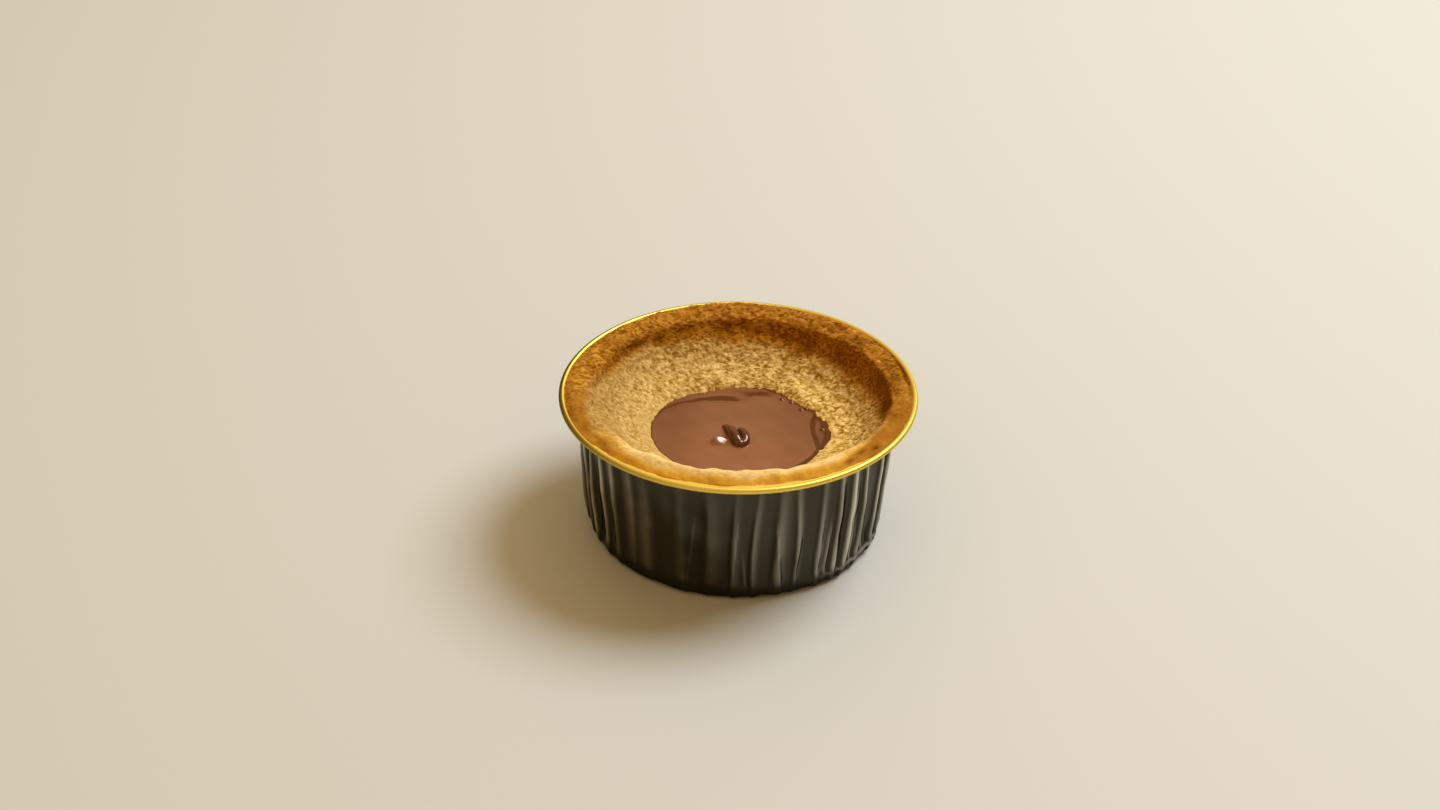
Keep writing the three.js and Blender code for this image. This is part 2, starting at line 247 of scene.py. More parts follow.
_, _, height, radius, angle = places_of(cup)
up_wall = height / WALL_TOP_HEIGHT
pressed = np.zeros(len(height))
painted_glints = np.zeros(len(height))
fold_shade = np.zeros(len(height))
dice = random.Random(FLUTE_SEED)
for flute in range(FLUTES):
    even = 2 * math.pi * flute / FLUTES
    soft = hump(even, *SOFT_FLUTES)
    wander = math.sin(5 * even + 0.4) + math.sin(9 * even + 2.1) + 0.7 * math.sin(14 * even + 4.4)
    tilt = FLUTE_LEAN * math.sin(even) + dice.uniform(-0.025, 0.025)
    bow = dice.uniform(-0.02, 0.02) * np.sin(4 * up_wall)
    line = even + 0.011 * wander + dice.uniform(-0.03, 0.03) + tilt * (up_wall - 0.5) + bow
    width = FLUTE_WIDTH * dice.uniform(0.7, 1.4) * (1 + 0.8 * soft)
    way_back = 1 if math.sin(even) > -0.25 else -1  # the way round that leads away from the front
    across = way_back * turned_from(angle, line) * radius / width
    lopsided = across / np.where(across < 0, 0.65, 1.4)
    ridge = 0.65 * bell(lopsided, 0, 1) + 0.35 * bell(lopsided, 0, math.sqrt(6))
    fade = 1 - 0.75 * rise(dice.uniform(0.4, 0.75), 1.05, up_wall)
    strength = dice.uniform(0.55, 1.35)
    pressed += strength * FLUTE_DEPTH * (1 - 0.6 * soft) * fade * ridge
    patchy = 0.75 + 0.25 * np.sin(dice.uniform(0, 6.3) + 5 * up_wall)
    # Painted glints on the ridge, strongest at either side of the cup.
    glint_strength = (0.12 + humps(even, GLINT_PLACES)) * strength * (0.45 + 0.55 * fade) * patchy
    crisp = 0.2 + humps(even, CRISP_GLINT_PLACES)
    crisp_glint = bell(across, 0, np.where(across < 0, 0.35, 0.6))
    broad_glint = bell(across, 0.5, 1.3)
    painted_glints = np.maximum(painted_glints, glint_strength * (crisp * crisp_glint + (1 - crisp) * broad_glint))
    # Painted shade in the fold in front of the ridge.
    fold_shade = np.maximum(fold_shade, (1 - soft) * fade * bell(across, -1.1, 0.5))
for crease in range(CREASES):
    middle = dice.uniform(0, 2 * math.pi)
    line = middle + dice.uniform(-CREASE_LEAN, CREASE_LEAN) * (up_wall - 0.3)
    top = dice.uniform(0.35, 0.9)
    fade = rise(top, top - 0.3, up_wall)
    across = turned_from(angle, line) * radius / (CREASE_WIDTH * dice.uniform(0.7, 1.3))
    strength = dice.uniform(-1, 1.2) * (1 - 0.8 * hump(middle, -33, 35))
    pressed += strength * CREASE_DEPTH * fade * bell(across, 0, 1)
    # Painted glints on the crease, strongest on the right.
    glint_strength = (0.45 + 0.5 * hump(middle, 65, 25)) * strength
    painted_glints = np.maximum(painted_glints, glint_strength * fade * bell(across, 0, math.sqrt(0.5)))
plain = rise(HEM * 1.7, HEM * 0.8, height)
hem_fold = bell(height, HEM, HEM_FOLD_WIDTH) * hump(angle, 62, 24)
pressed = pressed * (1 - 0.6 * plain) + HEM_REACH * plain + HEM_FOLD * hem_fold
painted_glints = (0.16 + 0.84 * painted_glints) * (1 - 0.75 * fold_shade) * (1 - 0.8 * plain)
# Painted shade dims the wall at a few places round it.
for share, degrees, spread in SHADED_PLACES:
    painted_glints *= 1 - share * hump(angle, degrees, spread)
# A painted highlight along the fold at the top of the hem.
painted_glints = np.maximum(painted_glints, 0.6 * hem_fold)
on_wall = (height < WALL_TOP_HEIGHT + FLARE) & (radius < WALL_TOP_RADIUS + FLARE)
above_base = rise(0, CORNER * 0.6, height)
pressed = np.where(on_wall, pressed * above_base, 0)
deepest = pressed.max()
push_both_ways(cup, deepest, pressed / deepest)
dented = np.where(on_wall, above_base * rise(1, 0.7, up_wall), 0)
push(cup, DENT_DEPTH, dented, texture=clouds("dents", DENT_SIZE, 1))


def remember(piece, name, values):
    """Keeps a value for each vertex, for the material to read."""
    attribute = piece.data.attributes.new(name, "FLOAT", "POINT")
    attribute.data.foreach_set("value", values.astype(np.float32))


def finish(name, **sockets):
    """A material with one shader, and values set on its sockets, spaces written as underscores."""
    material = bpy.data.materials.new(name)
    material.use_nodes = True
    shader = material.node_tree.nodes["Principled BSDF"]
    for socket, value in sockets.items():
        shader.inputs[socket.replace("_", " ")].default_value = value
    return material


def add_node(material, kind, inputs=None, **settings):
    """Adds a node with settings, and sets or links its inputs."""
    node = material.node_tree.nodes.new(kind)
    for name, value in settings.items():
        setattr(node, name, value)
    for name, value in (inputs or {}).items():
        if isinstance(value, bpy.types.NodeSocket):
            material.node_tree.links.new(value, node.inputs[name])
        else:
            node.inputs[name].default_value = value
    return node


def recall(material, name):
    """A value that the piece remembers."""
    return add_node(material, "ShaderNodeAttribute", attribute_name=name).outputs["Fac"]


def ramp(material, value, stops):
    """Colours along a value, each stop a place from 0 to 1 and a colour."""
    node = add_node(material, "ShaderNodeValToRGB", {"Fac": value})
    marks = node.color_ramp.elements
    while len(marks) < len(stops):
        marks.new(0.5)
    for mark, (place, colour) in zip(marks, stops):
        mark.position = place
        mark.color = (*colour, 1)
    return node.outputs["Color"]


def grey_ramp(material, value, stops):
    """As ramp, with one number at each stop in place of a colour."""
    return ramp(material, value, [(place, (number, number, number)) for place, number in stops])


def plug(material, socket, value):
    """Links a value into the material's shader."""
    shader = material.node_tree.nodes["Principled BSDF"]
    material.node_tree.links.new(value, shader.inputs[socket])


# The base colour and specular tint follow the painted glints and shade. Thick lacquer is black and takes up
# the light that grazes it, so the wall is dark at both sides.
remember(cup, "painted_glints", np.where(on_wall, painted_glints, 0))
black_lacquer = finish("black_lacquer", Metallic=1.0, Roughness=0.2)
wall_glints = recall(black_lacquer, "painted_glints")
plug(black_lacquer, "Base Color", ramp(black_lacquer, wall_glints, [
    (0.0, (0.033, 0.029, 0.019)),
    (0.16, (0.062, 0.056, 0.04)),
    (1.0, (0.7, 0.66, 0.54)),
]))
plug(black_lacquer, "Specular Tint", grey_ramp(black_lacquer, wall_glints, [
    (0.0, 0.46),
    (0.16, 0.62),
    (1.0, 0.85),
]))

# The gold on the outside of the bead is painted darker as a painted reflection of shade, most of all on the
# left, and not in front.
outward = (radius - bead_radius) / BEAD
bead_shade = rise(-0.4, 0.1, outward) * (0.25 + 0.75 * hump(angle, -100, 60)) * (1 - hump(angle, 5, 40))
remember(cup, "bead_shade", np.where(on_wall, 0, bead_shade))
gold_lacquer = finish("gold_lacquer", Metallic=1.0, Roughness=0.5, Specular_Tint=(1.0, 0.85, 0.4, 1))
plug(gold_lacquer, "Base Color", ramp(gold_lacquer, recall(gold_lacquer, "bead_shade"), [
    (0.0, (1.0, 0.74, 0.148)),
    (1.0, (0.13, 0.1, 0.012)),
]))
cup.data.materials.append(black_lacquer)
cup.data.materials.append(gold_lacquer)
foil = cup.modifiers.new("foil", "SOLIDIFY")
foil.thickness = FOIL
foil.offset = -1
foil.material_offset = 1
foil.material_offset_rim = 1
bpy.ops.object.modifier_apply(modifier=foil.name)
bpy.ops.object.shade_smooth()


def lean(piece):
    """Raises a piece on the right and lowers it on the left, as the cup was pressed unevenly."""
    x, _, height, _, _ = places_of(piece)
    push_both_ways(piece, RIM_LEAN, x / cup_high.x * height / rim_height, "Z")


lean(cup)
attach(cup, "root")
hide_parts("foil_cup")

# The cookie: soft dough baked in the cup, risen over its flare into a browned lip. The middle has
# sunk round the filling, which leaves a step under the lip and a slope of open crumb.
LIP_RADIUS = 41.25 * MM
LIP_HEIGHT = 36.5 * MM
LIP_LIFT = 0.2 * MM  # of the lip's edge above the flange
SHOULDER_RADIUS = 35 * MM
SHOULDER_HEIGHT = 35.4 * MM
STEP_FOOT_RADIUS = 32.4 * MM
STEP_FOOT_HEIGHT = 31.2 * MM
POOL_RADIUS = 20.8 * MM
POOL_HEIGHT = 24.3 * MM
SLOPE_HOLLOW = 0.6 * MM
SLOPE_RINGS = 13
COOKIE_COLUMNS = 200

_, cookie_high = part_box("cookie")
lip_foot = flange_height + LIP_LIFT
cookie = start_ring("cookie_crumb", COOKIE_COLUMNS, LIP_RADIUS, lip_foot)
lip = [
    (LIP_RADIUS + 0.05 * MM, lip_foot + 0.25 * MM),
    (LIP_RADIUS - 0.4 * MM, LIP_HEIGHT - 0.65 * MM),
    (LIP_RADIUS - 1.3 * MM, LIP_HEIGHT - 0.2 * MM),
    (LIP_RADIUS - 2.4 * MM, LIP_HEIGHT),
    (LIP_RADIUS - 3.6 * MM, LIP_HEIGHT - 0.1 * MM),
    (LIP_RADIUS - 4.8 * MM, LIP_HEIGHT - 0.45 * MM),
    (SHOULDER_RADIUS + 0.3 * MM, SHOULDER_HEIGHT + 0.35 * MM),
]
step = [
    (SHOULDER_RADIUS - 0.3 * MM, SHOULDER_HEIGHT - 0.2 * MM),
    (SHOULDER_RADIUS - 0.5 * MM, SHOULDER_HEIGHT - 1.2 * MM),
    (STEP_FOOT_RADIUS + 1.7 * MM, STEP_FOOT_HEIGHT + 1.6 * MM),
    (STEP_FOOT_RADIUS + 0.9 * MM, STEP_FOOT_HEIGHT + 0.5 * MM),
    (STEP_FOOT_RADIUS, STEP_FOOT_HEIGHT),
]
slope = []
for ring in range(1, SLOPE_RINGS + 1):
    share = ring / SLOPE_RINGS
    ring_radius = STEP_FOOT_RADIUS + (POOL_RADIUS - STEP_FOOT_RADIUS) * share
    ring_height = STEP_FOOT_HEIGHT + (POOL_HEIGHT - STEP_FOOT_HEIGHT) * share
    slope.append((ring_radius, ring_height - SLOPE_HOLLOW * math.sin(math.pi * share)))
under_pool = (POOL_RADIUS - 1.2 * MM, POOL_HEIGHT - 0.9 * MM)
draw_rings(LIP_RADIUS, lip + step + slope + [under_pool])
bpy.ops.object.mode_set(mode="OBJECT")
smooth = cookie.modifiers.new("smooth", "SUBSURF")
smooth.levels = 2
smooth.render_levels = 2
bpy.ops.object.modifier_apply(modifier=smooth.name)

# How the dough rose and sank. The lip's inner half stands higher in front than at the back, and swells
# left of the front. Its edge droops and draws back from the bead in front, and rises a little at the
# back. The slope is lower and hollower on the right, where the step stands further out.
LIP_TILT = 0.6 * MM
LIP_SWELLING = 0.6 * MM
LIP_DRAWN_BACK = 1.75 * MM
LIP_DROOP = 0.35 * MM
BACK_EDGE_RISE = 0.2 * MM
SLOPE_TILT = 1.1 * MM
SLOPE_SAG = 0.9 * MM
STEP_SHIFT = 1.2 * MM

_, _, _, radius, angle = places_of(cookie)
from_axis = radius / MM  # in mm, as the radii beside it are
turn = np.degrees(angle)
front = np.cos(angle)  # 1 at the front, -1 at the back
right = np.maximum(np.sin(angle), 0)
left = np.maximum(-np.sin(angle), 0)
on_lip = rise(STEP_FOOT_RADIUS, SHOULDER_RADIUS, radius)
inner_lip = on_lip * rise(39.4, 36, from_axis)
push_both_ways(cookie, LIP_TILT, inner_lip * front, "Z")
push(cookie, LIP_SWELLING, inner_lip * hump(angle, -22, 15), "Z")
drawn_back = rise(SHOULDER_RADIUS, LIP_RADIUS, radius) * ((1 + front) / 2) ** 3
push(cookie, LIP_DRAWN_BACK, drawn_back, "Y")
push(cookie, -LIP_DROOP, rise(37.5 * MM, LIP_RADIUS, radius) * rise(-0.2, 0.8, front), "Z")
push(cookie, BACK_EDGE_RISE, rise(39.5, 41, from_axis) * rise(-0.75, -0.95, front), "Z")
on_slope = (1 - on_lip) * rise(POOL_RADIUS, STEP_FOOT_RADIUS, radius)
push_both_ways(cookie, SLOPE_TILT, -on_slope * np.sin(angle), "Z")
step_band = rise(30.5, 34, from_axis) * rise(40, 37.5, from_axis)
push(cookie, STEP_SHIFT, step_band * hump(angle, 78, 42), "X")
hollow = rise(POOL_RADIUS, 28 * MM, radius) * rise(34, 30, from_axis)
push(cookie, -SLOPE_SAG, hollow * hump(angle, 85, 50), "Z")

# The crumb's height along the shore of the pool, as an amount in mm, degrees from the front and a spread.
SHORE_RISES = [(1.8, -162, 20), (0.3, -55, 50), (1.7, 135, 16), (0.5, 166, 14), (-0.5, 84, 14)]
shore = rise(27.5, 20, from_axis)
for amount, degrees, spread in SHORE_RISES:
    push(cookie, amount * MM, shore * hump(angle, degrees, spread), "Z")

# The gap on the right, where the edge of the lip has sunk beside the bead, painted dark as shade. It ends in
# a notch.
GAP_DEPTH = 0.7 * MM
gap = bell(from_axis, 40.6, 0.5) * rise(84, 102, turn) * rise(120, 117.5, turn)
push(cookie, -GAP_DEPTH, gap, "Z")

# Where the crust ends, as degrees from the front and a radius in mm. Outside it lie the lip and the
# step, inside it the open crumb.
CRUST_EDGE = [
    (-180, 31.4), (-150, 31.8), (-138, 33.4), (-122, 32.8), (-105, 33.6), (-90, 35.0), (-72, 37.0),
    (-45, 38.9), (0, 39.5), (35, 38.4), (60, 35.6), (80, 33.8), (100, 32.0), (130, 31.2), (180, 31.4),
]
crust_edge = np.interp(turn, *zip(*CRUST_EDGE))
inside = crust_edge + 0.4 * np.sin(11 * angle + 1) + 0.25 * np.sin(23 * angle) - from_axis
blend = 1.6 - 0.8 * rise(-0.5, -0.9, front)
on_crust = rise(blend, -blend, inside)
pale_crest = rise(0.35, 0.9, front) * rise(31, 35, from_axis)


def grains(name, size):
    """Noise of round grains of a size, packed together, for push with a negative amount."""
    texture = bpy.data.textures.new(name, "VORONOI")
    texture.noise_scale = size
    texture.distance_metric = "DISTANCE_SQUARED"
    return texture


# Lumps in the dough, the pitted crust of the lip, which is roughest at the back and wrinkled on the left,
# the torn step with a crack in it, and the open crumb. The crumb has its biggest clumps on the right and
# at the back, is calmer along the shore, and runs out towards the front.
back = rise(0.35, -0.45, front)
lip_top = rise(34.8, 36.4, from_axis)
rough_lip = lip_top * (0.3 + 0.7 * rise(-0.1, -0.6, front))
wrinkled_lip = lip_top * hump(angle, -90, 40)
brow = rise(34.2, 35, from_axis) * rise(37.6, 36.2, from_axis)
on_step = rise(30.6, 32.4, from_axis) * rise(35.7, 34.8, from_axis)
rough_step = on_step * rise(0.5, 0, front)
crack = bell(from_axis, 33.0 + 1.6 * np.sin(9 * angle), 0.5) * hump(angle, -143, 8)
calm = rise(24.5, 22, from_axis) * (hump(angle, -75, 45) + hump(angle, 75, 28))
rough_crumb = rise(-0.6, 0.8, inside) * rise(0.8, 0.05, front) * (1 - 0.7 * calm)
clumpy = np.maximum(right, 0.8 * rise(-0.3, -0.8, front))
push(cookie, 1.2 * MM, 0.35 + 0.65 * on_lip, texture=clouds("lumps", 5 * MM, 1))
push(cookie, 0.9 * MM, brow * back, texture=clouds("brow", 2.2 * MM, 1))
push(cookie, 0.8 * MM, rough_crumb * (0.3 + 0.7 * clumpy), texture=clouds("crumb", 3.5 * MM, 1))
smooth_places = np.column_stack(places_of(cookie)[:3])
push(cookie, -0.2 * MM, crack)
push(cookie, -0.35 * MM, rough_lip, texture=grains("crust", 1.4 * MM))
push(cookie, -0.35 * MM, rough_lip, texture=grains("fine_crust", 0.75 * MM))
push(cookie, 0.35 * MM, rough_lip, texture=clouds("pits", 1.8 * MM, 2))
push(cookie, 0.4 * MM, wrinkled_lip, texture=clouds("wrinkles", 3.2 * MM, 1, "HARD_NOISE"))
push(cookie, 0.5 * MM, rough_step, texture=clouds("torn", 1.7 * MM, 2))
push(cookie, -0.2 * MM, rough_step, texture=grains("torn_grains", 1.0 * MM))
push(cookie, 0.55 * MM, rough_crumb * (0.25 + 0.75 * clumpy), texture=clouds("clumps", 1.8 * MM, 1))
push(cookie, -0.3 * MM, rough_crumb, texture=grains("clusters", 1.5 * MM))
push(cookie, -0.25 * MM, rough_crumb, texture=grains("crumbs", 0.7 * MM))
push(cookie, 0.5 * MM, rough_crumb, texture=clouds("grit", 0.8 * MM, 3))

# How far each place stands out, for its colour: the pits get painted shade and the tips painted light, less
# so on the crust.
rough_places = np.column_stack(places_of(cookie)[:3])
normals = np.array([vertex.normal for vertex in cookie.data.vertices])
relief_for_shade = np.einsum("ij,ij->i", rough_places - smooth_places, normals) / MM
for part in (inside > 0, inside <= 0):
    relief_for_shade[part] -= np.median(relief_for_shade[part])
relief_for_shade *= 1 - on_crust * (0.15 + 0.45 * rise(-0.3, 0.6, front)) - 0.4 * rough_step
remember(cookie, "relief_for_shade", relief_for_shade)

# Browning and painted shade: the crust is palest on the crest at the front, brown all round, darker on the
# step and darkest in a few scorched spots; the gap is painted dark as shade. The open crumb is browner next
# to the crust.
SCORCHED_SPOTS = [(-6, 39.3), (0, 39.3), (40, 40.0), (46, 39.2), (52, 40.2)]  # degrees, radius in mm
SPOT_WIDTH = 0.5  # in mm
SPOT_SPREAD = 1.8  # in degrees
scorched = np.zeros(len(angle))
for degrees, spot_radius in SCORCHED_SPOTS:
    spot = bell(from_axis, spot_radius, SPOT_WIDTH) * hump(angle, degrees, SPOT_SPREAD)
    scorched = np.maximum(scorched, spot)
sunk = bell(from_axis, 34.6, 1.3) * hump(angle, -125, 25)
# The step is browner at the back and sides; on the right it is painted darker and on the left lighter, as
# shade.
step_tone = 0.05 * rise(0.4, -0.2, front) + 0.05 * rise(-0.6, -0.95, front)
step_tone += humps(angle, [(0.17, 85, 20), (-0.09, -90, 35)])
lip_tone = 0.76 - 0.26 * rise(0.4, 0.95, front) + humps(angle, [(0.04, 105, 45), (0.06, 48, 16)])
# The gap is painted dark as shade.
lip_tone += step_tone * on_step + 0.1 * sunk + 0.35 * gap + 0.25 * scorched - 0.07 * wrinkled_lip
# The crumb is painted lighter on the right as light, and darker at the back, most at the back right, as
# shade.
crumb_tone = 0.34 + 0.38 * rise(25.5, 32, from_axis) - 0.3 * right + 0.05 * left
crumb_tone += 0.1 * rise(-0.6, -0.95, front) + 0.12 * back * right
crumb_tone = crumb_tone * (1 - pale_crest) - 0.08 * pale_crest
remember(cookie, "browned_and_shaded", on_crust * lip_tone + (1 - on_crust) * crumb_tone)
remember(cookie, "open_crumb", (1 - on_crust) * (1 - pale_crest))
crust_grain = on_crust * (1.1 - rise(-0.3, 0.5, front))
crumb_grain = (1 - on_crust) * (1.1 - 0.45 * left) * (1 - 0.75 * pale_crest)
remember(cookie, "grainy", (crumb_grain + crust_grain) * (1 - 0.5 * calm))

# Below the lip's edge the side runs down inside the cup to the base, and under the pool lies the bed.
bpy.ops.object.mode_set(mode="EDIT")
select_ring(cookie, lip_foot - 2 * MM, cookie_high.z + MM)
draw_rings(LIP_RADIUS, [
    (38.6 * MM, lip_foot),
    (37.0 * MM, 34.2 * MM),
    (36.4 * MM, 32.0 * MM),
    (34.2 * MM, 3.0 * MM),
    (33.4 * MM, 1.2 * MM),
    (31.8 * MM, 0.6 * MM),
])
bpy.ops.mesh.edge_face_add()
select_ring(cookie, 15 * MM, 30 * MM)
draw_rings(under_pool[0], [(16.5 * MM, 20.5 * MM), (10 * MM, 18.2 * MM)])
bpy.ops.mesh.edge_face_add()
bpy.ops.mesh.select_all(action="SELECT")
bpy.ops.mesh.normals_make_consistent(inside=False)
bpy.ops.object.mode_set(mode="OBJECT")
bpy.ops.object.shade_smooth()
lean(cookie)


def work_out(material, operation, *values):
    """A number from others."""
    inputs = dict(enumerate(values))
    return add_node(material, "ShaderNodeMath", inputs, operation=operation).outputs["Value"]


def work_out_colour(material, operation, *values):
    """A colour from others."""
    inputs = dict(enumerate(values))
    return add_node(material, "ShaderNodeVectorMath", inputs, operation=operation).outputs["Vector"]


# Baked dough, blotched as it browns. The crumb is a little oily, so it glints golden.
baked_dough = finish("baked_dough", Specular_Tint=(1.0, 0.65, 0.2, 1))
place = add_node(baked_dough, "ShaderNodeTexCoord").outputs["Object"]
blotch = add_node(
    baked_dough, "ShaderNodeTexNoise", {"Vector": place, "Scale": 170, "Detail": 5}
).outputs["Fac"]
blotched = work_out(baked_dough, "MULTIPLY_ADD", blotch, 0.45, recall(baked_dough, "browned_and_shaded"))
browning_and_shade = work_out(baked_dough, "SUBTRACT", blotched, 0.225)
crust_colour = ramp(baked_dough, browning_and_shade, [
    (0.0, (1.0, 0.665, 0.25)),
    (0.3, (0.87, 0.465, 0.075)),
    (0.5, (0.77, 0.375, 0.036)),
    (0.65, (0.56, 0.243, 0.025)),
    (0.76, (0.425, 0.16, 0.0145)),
    (0.9, (0.29, 0.1, 0.0035)),
    (1.0, (0.2, 0.062, 0.001)),
])
crumb_colour = ramp(baked_dough, browning_and_shade, [
    (0.0, (0.8, 0.51, 0.135)),
    (0.5, (0.61, 0.36, 0.1)),
    (1.0, (0.42, 0.215, 0.035)),
])
open_crumb = recall(baked_dough, "open_crumb")
dough_colour = add_node(
    baked_dough, "ShaderNodeMixRGB", {"Fac": open_crumb, "Color1": crust_colour, "Color2": crumb_colour}
).outputs["Color"]

# The finest grain is flaky, twice as long from side to side. With the painted shade of the relief, pits are
# darker and warmer than the tips.
flakes = add_node(baked_dough, "ShaderNodeMapping", {"Vector": place, "Scale": (0.5, 1, 1)}).outputs["Vector"]
specks = add_node(
    baked_dough, "ShaderNodeTexNoise", {"Vector": flakes, "Scale": 2500, "Detail": 3}
).outputs["Fac"]
cells = add_node(baked_dough, "ShaderNodeTexVoronoi", {"Vector": flakes, "Scale": 2000}).outputs["Color"]
mixed = work_out(baked_dough, "ADD", cells, specks)
centred = work_out(baked_dough, "SUBTRACT", mixed, 1.0)
fine_grain = work_out(baked_dough, "MULTIPLY", centred, recall(baked_dough, "grainy"))
painted_relief_shade = work_out(baked_dough, "MULTIPLY", recall(baked_dough, "relief_for_shade"), 0.65)
level = work_out(baked_dough, "MULTIPLY_ADD", fine_grain, 0.5, painted_relief_shade)
level_limits = {"From Min": -0.2, "From Max": 0.25, "To Min": -0.2, "To Max": 0.25}
limited = add_node(baked_dough, "ShaderNodeMapRange", {"Value": level, **level_limits}).outputs["Result"]
tint = work_out_colour(baked_dough, "MULTIPLY_ADD", limited, (2.2, 2.8, 4.6), (1, 1, 1))
plug(baked_dough, "Base Color", work_out_colour(baked_dough, "MULTIPLY", dough_colour, tint))
plug(baked_dough, "Roughness", grey_ramp(baked_dough, open_crumb, [(0.0, 0.75), (1.0, 0.5)]))
plug(baked_dough, "Specular IOR Level", grey_ramp(baked_dough, open_crumb, [(0.0, 0.08), (1.0, 0.28)]))
bump = add_node(
    baked_dough, "ShaderNodeBump", {"Height": fine_grain, "Distance": 0.15 * MM, "Strength": 0.6}
)
plug(baked_dough, "Normal", bump.outputs["Normal"])
cookie.data.materials.append(baked_dough)
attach(cookie, "root")
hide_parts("cookie")

# The melted chocolate: a pool that has soaked a little way into the crumb, with a wrinkled skin along
# its edge, and in the middle the hairpin loop left by the last of the piping.
POOL_REACH = 22.6 * MM
POOL_EYE = 0.35 * MM
POOL_COLUMNS = 440
POOL_RINGS = 88
MENISCUS = 0.2 * MM  # by which the pool creeps up the crumb
pool = start_ring("chocolate_pool", POOL_COLUMNS, POOL_REACH, POOL_HEIGHT)
draw_rings(POOL_REACH, straight((POOL_REACH, POOL_HEIGHT), (POOL_EYE, POOL_HEIGHT), POOL_RINGS))
bpy.ops.mesh.edge_face_add()
bpy.ops.object.mode_set(mode="OBJECT")
x, y, _, radius, angle = places_of(pool)
pool_x = x / MM  # places on the pool are in mm
pool_y = y / MM
crumb_shape = BVHTree.FromObject(cookie, bpy.context.evaluated_depsgraph_get())
depth = np.full(len(x), 5.0)  # in mm, measured only near the shore
for index in np.flatnonzero(radius > 15 * MM):
    hit = crumb_shape.ray_cast((x[index], y[index], POOL_HEIGHT + 20 * MM), (0, 0, -1))[0]
    depth[index] = (POOL_HEIGHT - hit.z) / MM
push(pool, MENISCUS, rise(0.7, -0.2, depth), "Z")


def mound(centre, size):
    """A round hump of height 1 on the pool, its place and size in mm."""
    return bell(np.hypot(pool_x - centre[0], pool_y - centre[1]), 0, size)


def beside(route):
    """Distance of each vertex from a line on the pool, in mm, positive on the left of its run."""
    nearest = np.full(len(pool_x), np.inf)
    side = np.zeros(len(pool_x))
    for (start_x, start_y), (end_x, end_y) in zip(route, route[1:]):
        run_x = end_x - start_x
        run_y = end_y - start_y
        along = (pool_x - start_x) * run_x + (pool_y - start_y) * run_y
        share = np.clip(along / (run_x ** 2 + run_y ** 2), 0, 1)
        away_x = pool_x - start_x - share * run_x
        away_y = pool_y - start_y - share * run_y
        away = np.hypot(away_x, away_y)
        side = np.where(away < nearest, np.sign(run_x * away_y - run_y * away_x), side)
        nearest = np.minimum(away, nearest)
    return nearest * side


# In the middle a swelling, and a drop that leans on the loop with a flat side to the front right. The skin
# has a wrinkle along the back edge, a fold on the right and a few bubbles there.
EDGE_WRINKLE = [
    (-19.5, 5.0), (-18.0, 7.6), (-14.1, 10.9), (-9.3, 12.5),
    (-4.4, 13.0), (-0.2, 12.8), (3.3, 14.8), (6.0, 19.0),
]
SIDE_FOLD = [(18.9, -8.6), (18.4, -5.2), (17.6, -1.2), (17.3, 2.4), (17.5, 6.0), (19.0, 8.8)]
BUBBLES = [(10.7, 14.2), (13, 13.0), (15.4, 9.9), (16.5, 10.2), (20.4, 1.1)]
BUBBLE_SIZE = 0.5
BUBBLE_HEIGHT = 0.45 * MM
DROP = (-3.7, -6.0)
DROP_HEIGHT = 2 * MM
drop_x = pool_x - DROP[0]
drop_y = pool_y - DROP[1]
flat_side = 0.28 * np.logaddexp(0, 3 * (1.3 + (drop_y - drop_x) * math.sqrt(0.5))) / 3
drop = flat_side / (1 + ((drop_x / 1.9) ** 2 + (drop_y / 1.35) ** 2) ** 3)
wrinkle = beside(EDGE_WRINKLE)
fold = -beside(SIDE_FOLD)
bubbles = np.max([mound(bubble, BUBBLE_SIZE) for bubble in BUBBLES], axis=0)
push(pool, 0.5 * MM, mound((-0.6, -3.8), 6.0), "Z")
push(pool, 0.6 * MM, mound((-0.6, -5.0), 1.5), "Z")
push(pool, DROP_HEIGHT, drop, "Z")
push(pool, -0.25 * MM, rise(-0.1, 0.8, wrinkle) * (wrinkle < 9), "Z")
push(pool, 0.1 * MM, bell(wrinkle, -0.3, 0.5), "Z")
push(pool, -0.12 * MM, bell(fold, 0.8, 0.6), "Z")
push(pool, 0.12 * MM, bell(fold, -0.2, 0.6), "Z")
push(pool, BUBBLE_HEIGHT, bubbles, "Z")

# How pale the skin is, with painted light and shade. Strips behind the wrinkle, along the shore and beside
# the fold, and a patch at the back, are painted dark as shade, with a film and an island of skin beyond the
# fold strip.
# The bubbles are bare dark chocolate. The drop is as pale as the skin gets.
tear = 1.5 + 1.3 * rise(-14, -3, pool_x)
shaded_strips = rise(-0.2, 0.2, wrinkle) * rise(tear + 0.3, tear - 0.3, wrinkle)
shaded_strips *= rise(2.0, 0.5, pool_x + 0.8 * wrinkle)
film = 0.5 + 0.5 * rise(1.8, 1.1, fold)
island = np.exp(-((pool_x - 19.5) / 0.7) ** 4 - ((pool_y - 2.2) / 2.6) ** 4)
shaded_strips = np.maximum(shaded_strips, rise(0, 0.3, fold) * rise(3.2, 2.6, fold) * film * (1 - 0.8 * island))
back_patch = np.exp(-((pool_x - 4.7) / 3.6) ** 4 - ((pool_y - 16.7) / 1.2) ** 4)
shaded_strips = np.maximum(shaded_strips, back_patch)
from_shore = depth / (0.42 - 0.14 * np.sin(angle) + 0.25 * hump(angle, 88, 22))
shaded_strips = np.maximum(shaded_strips, rise(0.9, 0.3, from_shore))
